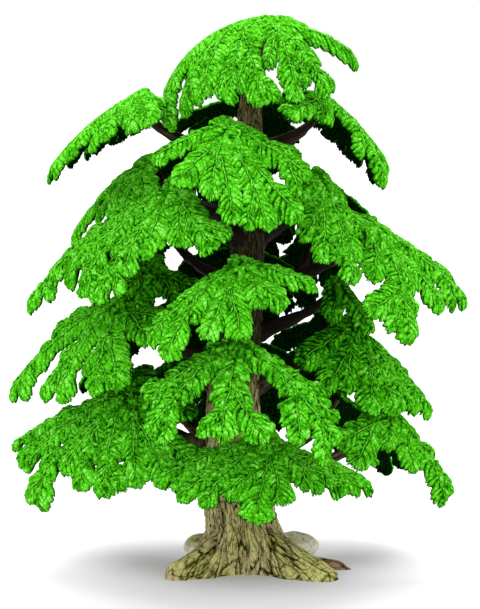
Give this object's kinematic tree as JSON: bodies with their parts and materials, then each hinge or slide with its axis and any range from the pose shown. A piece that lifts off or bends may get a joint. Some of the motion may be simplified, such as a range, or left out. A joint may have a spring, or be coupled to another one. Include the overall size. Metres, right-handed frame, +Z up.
{
  "type": "model ginkgo tree",
  "caption": "Moulded and painted model of a ginkgo tree, with hand-shaped foliage pads in tiers round a fluted trunk, on a flat foot of spreading roots.",
  "frame": {"origin": "under the middle of the trunk, on the flat underside of its foot", "axes": "+Z up the trunk, -Y towards the side that the picture shows, +X to that view's right"},
  "size_m": [0.2065, 0.1471, 0.2454],
  "materials": {
    "foliage": "moulded leaflets, dark green washed, brushed over in lime green, satin",
    "bark": "moulded bark furrows, olive brown with a dark wash, satin",
    "stone": "moulded stone, moss green over beige, satin"
  },
  "bodies": {
    "root": {"bough_bottom_back": "bark", "bough_bottom_back_left": "bark", "bough_bottom_back_right": "bark", "bough_bottom_front": "bark", "bough_bottom_left": "bark", "bough_bottom_right": "bark", "bough_inner_left": "bark", "bough_inner_right": "bark", "bough_lower_back": "bark", "bough_lower_back_left": "bark", "bough_lower_back_right": "bark", "bough_lower_front": "bark", "bough_lower_left": "bark", "bough_lower_right": "bark", "bough_middle_back": "bark", "bough_middle_back_left": "bark", "bough_middle_back_right": "bark", "bough_middle_front": "bark", "bough_middle_left": "bark", "bough_middle_right": "bark", "bough_top_back": "bark", "bough_top_left": "bark", "bough_top_right": "bark", "bough_upper_back_left": "bark", "bough_upper_back_right": "bark", "bough_upper_front": "bark", "bough_upper_left": "bark", "bough_upper_right": "bark", "foliage_bottom_back": "foliage", "foliage_bottom_back_left": "foliage", "foliage_bottom_back_right": "foliage", "foliage_bottom_front": "foliage", "foliage_bottom_left": "foliage", "foliage_bottom_right": "foliage", "foliage_crown": "foliage", "foliage_inner_left": "foliage", "foliage_inner_right": "foliage", "foliage_lower_back": "foliage", "foliage_lower_back_left": "foliage", "foliage_lower_back_right": "foliage", "foliage_lower_front": "foliage", "foliage_lower_left": "foliage", "foliage_lower_right": "foliage", "foliage_middle_back": "foliage", "foliage_middle_back_left": "foliage", "foliage_middle_back_right": "foliage", "foliage_middle_front": "foliage", "foliage_middle_left": "foliage", "foliage_middle_right": "foliage", "foliage_top_back": "foliage", "foliage_top_left": "foliage", "foliage_top_right": "foliage", "foliage_upper_back_left": "foliage", "foliage_upper_back_right": "foliage", "foliage_upper_front": "foliage", "foliage_upper_left": "foliage", "foliage_upper_right": "foliage", "stone_left": "stone", "stone_right": "stone", "trunk": "bark"}
  },
  "joints": []
}
